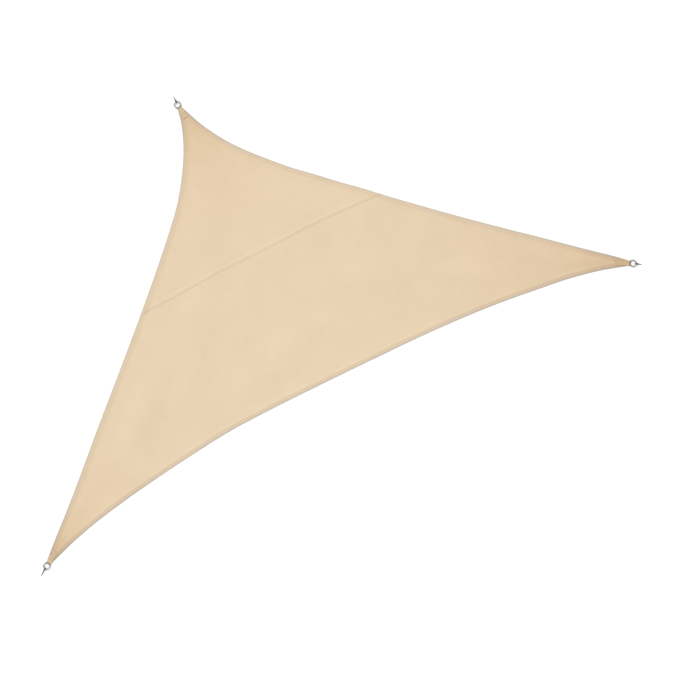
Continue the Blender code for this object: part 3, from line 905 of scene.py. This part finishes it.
# ---- The rings ----
# Stainless wire bent round and welded. Each lies in its tab's loop, its outer side held up a
# little by the tie, and its weld is a low bead that the tab and the tie leave bare.
WELD_WAY = 62.0  # from the tie, round the ring
WELD_LONG = 0.0045
WELD_HIGH = 0.00035
WELD_MARGIN = 0.0003  # past the wire's radius, where the weld's own points end
rings = {}
for where, (tab_way, *_) in CORNERS.items():
    bpy.ops.object.select_all(action="DESELECT")
    bpy.ops.mesh.primitive_torus_add(
        major_segments=96,
        minor_segments=24,
        major_radius=RING,
        minor_radius=WIRE,
        location=ring_at[where],
        rotation=(0.0, ring_tilt(where), math.radians(tab_way)),
    )
    piece = bpy.context.object
    piece.name = f"steel_ring_{where}"
    weld = piece.matrix_world @ Vector(
        (-RING * math.cos(math.radians(WELD_WAY)), RING * math.sin(math.radians(WELD_WAY)), 0.0)
    )
    bpy.ops.object.transform_apply(location=True, rotation=True, scale=True)
    for corner in piece.data.vertices:
        corner.select = (corner.co - weld).length < WIRE + WELD_MARGIN
    for group in (piece.data.edges, piece.data.polygons):
        for part in group:
            part.select = all(piece.data.vertices[i].select for i in part.vertices)
    bpy.ops.object.mode_set(mode="EDIT")
    bpy.ops.transform.shrink_fatten(
        value=WELD_HIGH,
        use_proportional_edit=True,
        proportional_edit_falloff="SMOOTH",
        proportional_size=WELD_LONG,
    )
    bpy.ops.object.mode_set(mode="OBJECT")
    bpy.ops.object.shade_smooth()
    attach(piece, "root")
    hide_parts(f"ring_{where}")
    rings[where] = piece

# The long side's two rings are painted darker than the apex ring, and the right ring darker still: painted
# shade on the one steel.
STEEL = (0.440, 0.441, 0.444, 1.0)
LONG_SIDE_RING_SHADE = (0.82, 0.82, 0.82)
RIGHT_RING_SHADE = (0.83, 0.83, 0.83)
steel_finish = Finish("Stainless steel", {"Metallic": 1.0})
scuffs = steel_finish.place.stretched(1.0, 1.0, 3.0).noise(420.0, 4.0)
ring_x, ring_y = steel_finish.place.axis("X"), steel_finish.place.axis("Y")
grey = steel_finish.tinted(
    STEEL,
    (scuffs.eased(0.35, 0.75), (0.84, 0.84, 0.84)),
    (1 - ring_y.eased(-0.5, 0.5), LONG_SIDE_RING_SHADE),
    (ring_x.eased(1.0, 1.5), RIGHT_RING_SHADE),
)
steel_finish.vary("Base Color", grey)
steel_finish.vary("Roughness", 0.22 + scuffs.eased(0.40, 0.80) * 0.14)
steel_finish.relief(scuffs * 0.00002)
steel_finish.put_on(*rings.values())


# ---- The tabs ----
# Ribbed polyester webbing: it runs under the cloth's corner, bunches round the ring's wire, comes back
# over the cloth, and a box with a cross sews both legs through it.
WEBBING = 0.0015  # room for the webbing's thickness
BAND = 0.0013  # its real thickness
LEGS_APART = 0.0030  # the cloth's hem and its clearance, between the legs
CLEARANCE = 0.0003
LOOP_HALF = 0.0152  # half its width where it bunches round the wire
SPREAD = 0.036  # distance from the ring's centre at which it is full width
PINCH = 0.018  # length over which its legs close on the cloth behind the wire
LEG_STEPS = 18  # stations along a leg, where its two legs close, and round the wire
PINCH_STEPS = 9
TURN_STEPS = 13
RIBS = 15
RIB_DEPTH = 0.00012
SELVEDGE = 0.4  # its two edges' share of its thickness
BUTT = 0.6  # its cut ends are rounded over this share of its thickness
END_THIN = (0.006, 0.26)  # its ends are pressed thinner over this length, to this share
END_SINK = 0.018  # and the upper one sinks on to the cloth over this length
BOX_START = 0.041  # the sewn box, from the ring's centre
BOX_MARGIN = 0.006  # from the tab's sides and end
BOX_POINTS = 24  # in each of the box's lines


def tab_place(where, ahead, side):
    """A place on the floor under a point of the tab."""
    width = CORNERS[where][1]
    bunched = side * LOOP_HALF
    wire_ahead = np.sqrt(RING**2 - bunched**2)
    spread = ease((ahead - wire_ahead) / (SPREAD - wire_ahead))
    across = bunched + (side * width / 2 - bunched) * spread
    way = np.array(heading(CORNERS[where][0]))
    return ring_xy[where] + ahead[..., None] * way + across[..., None] * turned_left(way)


def tab_course(where, sides):
    """The inner face of a tab along each line of its width: ahead and up for each side from -1 to 1."""
    reach = CORNERS[where][3]
    bunched = sides[:, None] * LOOP_HALF
    wire_ahead = np.sqrt(RING**2 - bunched**2)
    wire_up = ring_at[where].z - wire_ahead * math.tan(ring_tilt(where))
    leg, pinch = np.linspace(1, 0, LEG_STEPS + 1)[None, :-1], np.linspace(0, 1, PINCH_STEPS)[None, :]
    angle = (np.linspace(0, 1, TURN_STEPS + 2)[None, 1:-1] - 0.5) * math.pi
    pinch_end = wire_ahead + PINCH
    ahead = np.concatenate([pinch_end + (reach - pinch_end) * leg, pinch_end - PINCH * pinch], axis=1)
    closed = np.concatenate([np.zeros_like(leg), ease(pinch)], axis=1)
    wrap = WIRE + CLEARANCE
    low = WEBBING + (wire_up - wrap - WEBBING) * closed
    high = WEBBING + LEGS_APART + (wire_up + wrap - WEBBING - LEGS_APART) * closed
    spots = tab_place(where, ahead, sides[:, None]).reshape(-1, 2)
    on_cloth = rise(spots) + read(HEM_TOP, from_edge(spots)) + LAYER / 2 + CLEARANCE
    high += (on_cloth.reshape(high.shape) - high) * (1 - ease((reach - ahead) / END_SINK))
    turn_ahead = wire_ahead - wrap * RING / wire_ahead * np.cos(angle)
    turn_up = wire_up + wrap * np.sin(angle)
    return (
        np.concatenate([ahead, turn_ahead, ahead[:, ::-1]], axis=1),
        np.concatenate([low, turn_up, high[:, ::-1]], axis=1),
    )


tabs, tab_threads = {}, {}
for where, (_, width, _, reach) in CORNERS.items():
    ribbed = np.linspace(-1, 1, RIBS * 4 + 1) * (1 - BAND / width)
    sides = np.concatenate([[-1], ribbed, [1]])
    thick = BAND - RIB_DEPTH * np.cos(np.linspace(0, 2 * math.pi * RIBS, RIBS * 4 + 1))
    thick = np.concatenate([[SELVEDGE * BAND], thick, [SELVEDGE * BAND]])[:, None]
    ahead, up = tab_course(where, sides)
    slope_ahead, slope_up = np.gradient(ahead, axis=1), np.gradient(up, axis=1)
    slope = np.hypot(slope_ahead, slope_up)
    outward = np.stack([-slope_up / slope, slope_ahead / slope])
    by_middle = len(sides) // 2 - 1
    run = run_of(np.stack([ahead[by_middle], up[by_middle]], axis=1))
    from_end = np.minimum(run, run[-1] - run)
    past_wire = ahead - np.sqrt(RING**2 - (sides[:, None] * LOOP_HALF) ** 2)
    thick = thick * np.sqrt(1 - (1 - np.clip(from_end / (BUTT * BAND), 0, 1)) ** 2)
    thick *= END_THIN[1] + (1 - END_THIN[1]) * ease(from_end / END_THIN[0])
    shell = []
    for depth in (thick, np.zeros_like(thick)):
        spots = tab_place(where, ahead + outward[0] * depth, sides[:, None])
        shell.append(lifted(spots, up + outward[1] * depth))
    loop = np.concatenate([shell[0], shell[1][::-1]], axis=0).transpose(1, 0, 2)
    across = np.concatenate([sides, sides[::-1]]) * width / 2
    tabs[where] = mesh_piece(
        f"webbing_tab_{where}",
        loop.reshape(-1, 3),
        grid_faces(len(run), 2 * len(sides)),
        "webbing",
        across=np.tile(across, len(run)),
        along=np.repeat(run, 2 * len(sides)),
        past_wire=np.concatenate([past_wire, past_wire[::-1]]).T.ravel(),
    )
    select_alone(tabs[where])
    bpy.ops.object.mode_set(mode="EDIT")
    bpy.ops.mesh.select_all(action="SELECT")
    bpy.ops.mesh.remove_doubles(threshold=1e-6)
    bpy.ops.mesh.normals_make_consistent(inside=False)
    bpy.ops.object.mode_set(mode="OBJECT")
    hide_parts(f"tab_{where}")
    near, far, half = BOX_START, reach - BOX_MARGIN, width / 2 - BOX_MARGIN
    box = [(near, -half), (far, -half), (far, half), (near, half), (near, -half)]
    cross = [[(near, -half), (far, half)], [(near, half), (far, -half)]]
    sewn = [*zip(box, box[1:]), *cross]
    rows = []
    for (start, left), (end, right) in sewn:
        share = np.linspace(0, 1, BOX_POINTS)
        spot, side = start + (end - start) * share, (left + (right - left) * share) / (width / 2)
        place = tab_place(where, spot, side)
        course_ahead, course_up = tab_course(where, side)
        leg = LEG_STEPS + PINCH_STEPS
        for way, order in ((1, slice(None, -leg - 1, -1)), (-1, slice(leg - 1, None, -1))):
            lines = zip(spot, course_ahead[:, order], course_up[:, order])
            lift = np.array([np.interp(at, ahead, up) for at, ahead, up in lines]) + way * BAND
            rows.append((lifted(place, lift), way))
    tab_threads[where] = stitched(f"thread_tab_{where}", rows)

# The bend round the wire is painted grey, as painted shade and some rubbing, the twill's grooves get
# painted shade, and the right corner's webbing is the darkest.
WEB_SAND = (0.620, 0.494, 0.322, 1.0)
TWILL = 0.0019  # from one line of the twill to the next
TWILL_SLANT = 0.6
WRAP_SHADE_AND_WEAR_TINT = (0.36, 0.38, 0.42)
LONG_SIDE_TAB_TINT = (1.006, 0.912, 0.903)
RIGHT_TAB_TINT = (0.898, 0.922, 0.821)
web_finish = Finish("Ribbed sand webbing", {"Roughness": 0.80, "Sheen Weight": 0.12})
across, along = web_finish.measure("across"), web_finish.measure("along")
wrap_shade_and_wear = 1 - web_finish.measure("past_wire").eased(0.0025, 0.0060)
web_x, web_y = web_finish.place.axis("X"), web_finish.place.axis("Y")
twill = ((along + across * TWILL_SLANT) * (2 * math.pi / TWILL)).sine() * 0.5 + 0.5
tan = web_finish.tinted(
    WEB_SAND,
    # Painted shade in the twill's grooves.
    (1 - twill, (0.90, 0.88, 0.86)),
    (web_finish.place.noise(60.0, 3.0).eased(0.35, 0.70), (0.94, 0.93, 0.91)),
    # Painted shade and some rubbing where the webbing bends round the wire.
    (wrap_shade_and_wear, WRAP_SHADE_AND_WEAR_TINT),
    (1 - web_y.eased(-0.5, 0.5), LONG_SIDE_TAB_TINT),
    (web_x.eased(1.0, 1.5), RIGHT_TAB_TINT),
)
web_finish.vary("Base Color", tan)
web_finish.relief(twill * 0.00010 + web_finish.place.noise(1500.0, 2.0) * 0.00004)
web_finish.put_on(*tabs.values())
thread_finish.put_on(*tab_threads.values())


# ---- The floor and the light ----
# A plain pale floor just under the sail, an even soft sky that is brighter overhead, and one broad lamp
# from beyond the apex.
FLOOR_DOWN = 0.0004
SKY = (0.30, 0.52)  # its brightness at the horizon, and what it gains overhead
LAMP_FROM = Vector((-0.30, 0.95, 1.0))
LAMP_POWER = 1.87
LAMP_BREADTH = 32.0  # degrees
bpy.ops.object.select_all(action="DESELECT")
bpy.ops.mesh.primitive_plane_add(size=60.0, location=(0.0, 0.0, 0.0))
floor = bpy.context.object
floor.name = "floor"
bpy.ops.object.mode_set(mode="EDIT")
bpy.ops.mesh.select_all(action="SELECT")
bpy.ops.mesh.subdivide(number_cuts=3)
bpy.ops.transform.translate(value=(0.0, 0.0, -FLOOR_DOWN))
bpy.ops.object.mode_set(mode="OBJECT")
floor_finish = Finish("Pale floor", {"Roughness": 0.9})
clouds = floor_finish.place.noise(0.8, 2.0)
pale = floor_finish.tinted((0.93, 0.93, 0.93, 1.0), (clouds, (0.995, 0.995, 0.995)))
floor_finish.vary("Base Color", pale)
floor_finish.put_on(floor)

world = bpy.data.worlds.new("Studio")
world.use_nodes = True
bpy.context.scene.world = world
sky = world.node_tree.nodes["Background"]
toward = Wire(world.node_tree.nodes.new("ShaderNodeTexCoord").outputs["Generated"])
brightness = SKY[0] + toward.axis("Z").eased(0.05, 0.40) * SKY[1]
world.node_tree.links.new(brightness.socket, sky.inputs["Strength"])
sky.inputs["Color"].default_value = (1.0, 1.0, 1.0, 1.0)
bpy.ops.object.light_add(type="SUN", location=(-1.8, 5.7, 6.0))
lamp = bpy.context.object
lamp.name = "lamp"
lamp.rotation_euler = LAMP_FROM.to_track_quat("Z", "Y").to_euler()
lamp.data.energy = LAMP_POWER
lamp.data.angle = math.radians(LAMP_BREADTH)
bpy.context.scene.view_settings.view_transform = "Standard"
